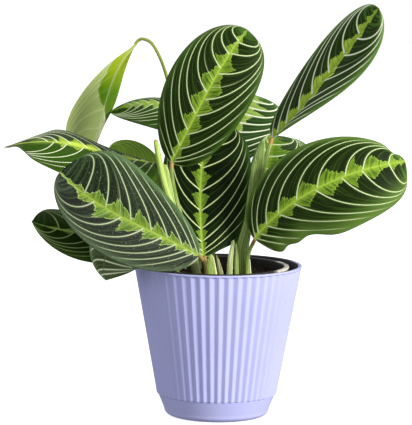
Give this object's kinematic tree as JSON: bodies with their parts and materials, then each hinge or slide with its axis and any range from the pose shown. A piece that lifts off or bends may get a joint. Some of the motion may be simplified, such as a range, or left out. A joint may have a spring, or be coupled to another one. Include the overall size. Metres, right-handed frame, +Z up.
{
  "type": "potted prayer plant",
  "caption": "Prayer plant with broad dark green leaves with lime veins, in a nursery pot that stands in a fluted lavender cover pot with its own saucer.",
  "frame": {"origin": "centre of the saucer's foot, on the surface that it stands on and on the pots' axis", "axes": "+Z up along the axis of the pots; -Y towards the front, the side that the leaves face; +X to the right"},
  "size_m": [0.3369, 0.2043, 0.3489],
  "materials": {
    "pot_plastic": "satin, lavender",
    "nursery_plastic": "semi-matt, pale grey",
    "potting_soil": "rough, dark brown",
    "stalk": "satin, fine lengthwise ribs",
    "leaf": "satin, dark green with lime veins and a paler underside",
    "young_leaf": "satin, pale green"
  },
  "bodies": {
    "root": {"saucer": "pot_plastic", "cover_pot": "pot_plastic", "nursery_pot": "nursery_plastic", "potting_soil": "potting_soil", "stalk_top_middle": "stalk", "stalk_top_right": "stalk", "stalk_right": "stalk", "stalk_front_left": "stalk", "stalk_far_left": "stalk", "stalk_young_drooping": "stalk", "stalk_back_left": "stalk", "stalk_behind_left": "stalk", "stalk_low_left": "stalk", "stalk_over_rim": "stalk", "stalk_centre": "stalk", "stalk_behind_middle": "stalk", "stalk_behind_right": "stalk", "sheath_pale": "stalk", "sheath_middle": "stalk", "sheath_front": "stalk", "sheath_striped": "stalk", "blade_top_middle": "leaf", "blade_top_right": "leaf", "blade_right": "leaf", "blade_front_left": "leaf", "blade_far_left": "leaf", "blade_young_drooping": "young_leaf", "blade_back_left": "leaf", "blade_behind_left": "leaf", "blade_low_left": "leaf", "blade_over_rim": "leaf", "blade_centre": "leaf", "blade_behind_middle": "leaf", "blade_behind_right": "leaf"}
  },
  "joints": []
}
